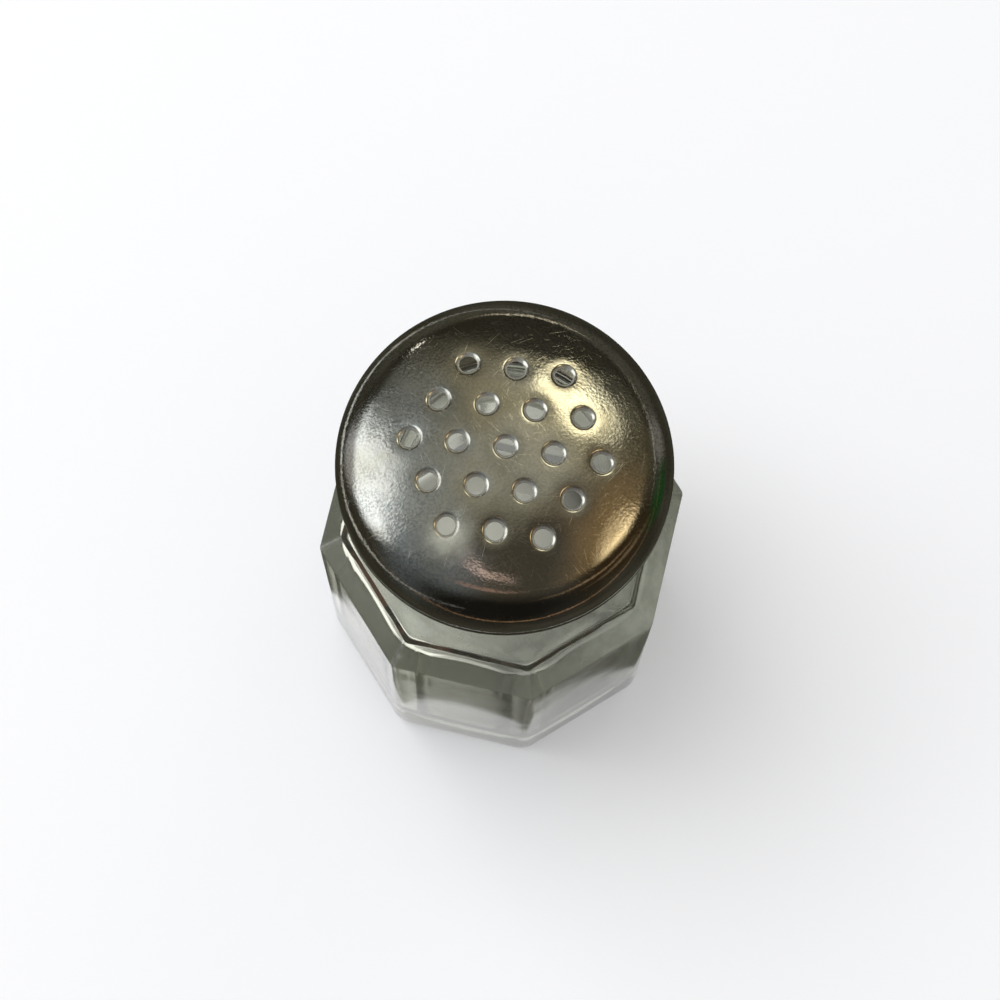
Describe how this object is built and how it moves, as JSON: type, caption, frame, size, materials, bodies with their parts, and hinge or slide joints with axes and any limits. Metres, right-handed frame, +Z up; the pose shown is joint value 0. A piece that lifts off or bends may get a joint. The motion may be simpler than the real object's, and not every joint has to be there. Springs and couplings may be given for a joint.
{
  "type": "table shaker",
  "caption": "Eight-sided clear pressed-glass table shaker with a perforated stainless mushroom lid that screws on a threaded neck.",
  "frame": {"origin": "centre of the jar's base, on the surface it stands on", "axes": "+Z up along the jar; the octagon's flats face X and Y"},
  "size_m": [0.0408, 0.0408, 0.076],
  "materials": {
    "clear_glass": "clear pressed glass with a faint green cast, fire-polished, slightly wavy",
    "ring_plastic": "natural translucent polyethylene, satin",
    "collar_steel": "drawn stainless sheet with rolled thread, bright",
    "dome_steel": "polished stainless sheet, worn, with fine scratches and specks"
  },
  "bodies": {
    "jar": {"glass_jar": "clear_glass"},
    "ring": {"sealing_ring": "ring_plastic"},
    "lid": {"threaded_collar": "collar_steel", "perforated_dome": "dome_steel"}
  },
  "joints": [
    {"name": "lid_lift", "type": "slide", "parent": "jar", "child": "ring", "axis": [0, 0, 1], "range_m": [0, 0.00424]},
    {"name": "lid_turn", "type": "hinge", "parent": "ring", "child": "lid", "pos_m": [0, 0, 0.064], "axis": [0, 0, 1], "range_deg": [0, 480]}
  ],
  "couplings": [
    {"joint": "lid_lift", "follows": "lid_turn", "m_per_rad": 0.00050532}
  ]
}
